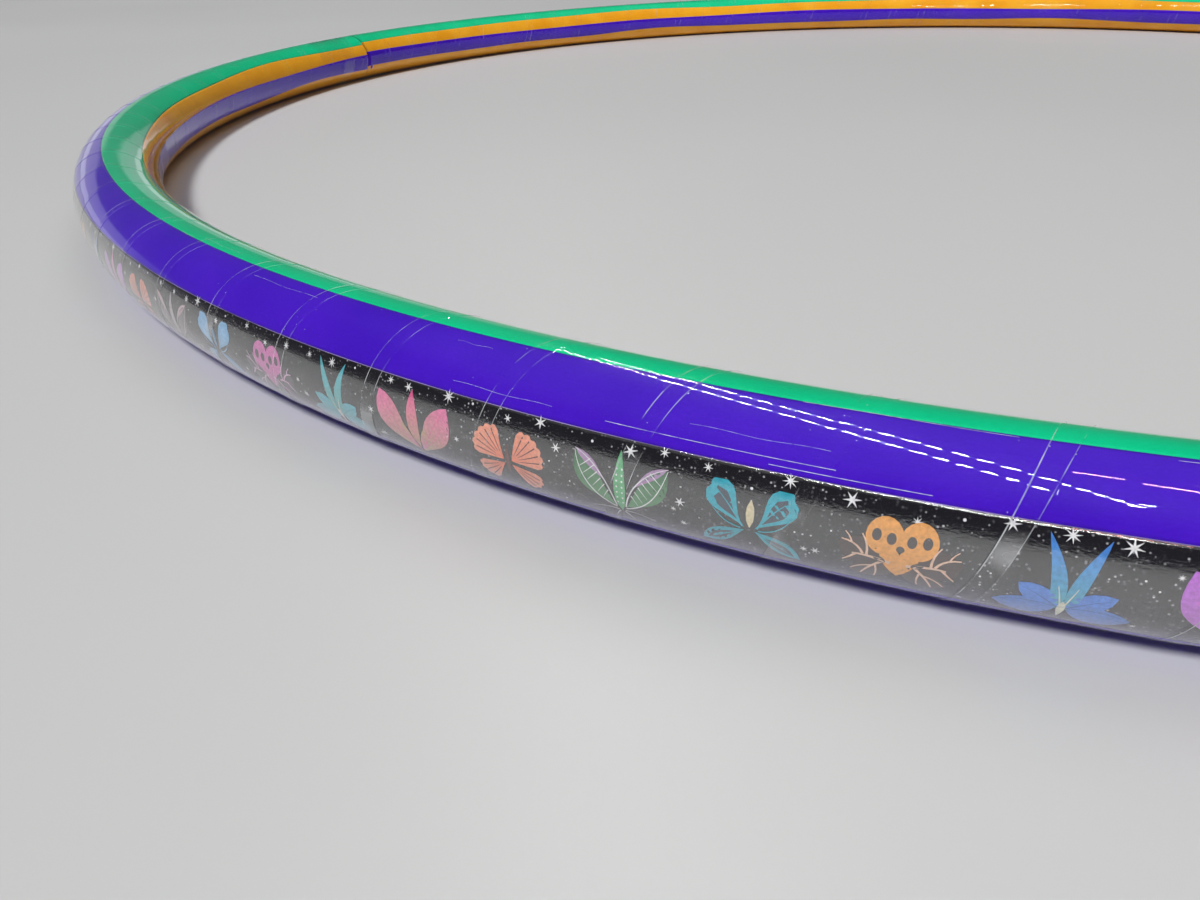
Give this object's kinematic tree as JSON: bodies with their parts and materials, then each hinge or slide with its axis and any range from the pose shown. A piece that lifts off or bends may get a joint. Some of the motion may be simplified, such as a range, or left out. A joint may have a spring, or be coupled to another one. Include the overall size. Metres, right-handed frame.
{
  "type": "rhythmic hoop",
  "caption": "Round gymnastics hoop of plastic tube, covered lengthwise in coloured and printed tapes under a clear spiral wrap.",
  "frame": {"origin": "the ring's centre, on the plane it lies on", "axes": "+Z is the ring's own axis, pointing up from the plane it lies on; the tube's butt joint is at -X"},
  "size_m": [0.5997, 0.5998, 0.0198],
  "materials": {
    "tube_plastic": "extruded, semi-matt",
    "plug_plastic": "moulded, matt",
    "rivet_metal": "bright",
    "printed_tape": "printed, glossy, with a fine sparkle",
    "purple_tape": "metallic, glossy",
    "green_tape": "metallic, glossy",
    "orange_tape": "metallic, glossy",
    "clear_film": "clear, glossy, with fine scratches"
  },
  "bodies": {
    "root": {"hoop_tube": "tube_plastic", "joint_plug": "plug_plastic", "joint_rivets": "rivet_metal", "printed_tape": "printed_tape", "purple_outer_tape": "purple_tape", "green_tape": "green_tape", "orange_inner_tape": "orange_tape", "purple_lower_tape": "purple_tape", "purple_inner_stripe": "purple_tape", "clear_wrap": "clear_film"}
  },
  "joints": []
}
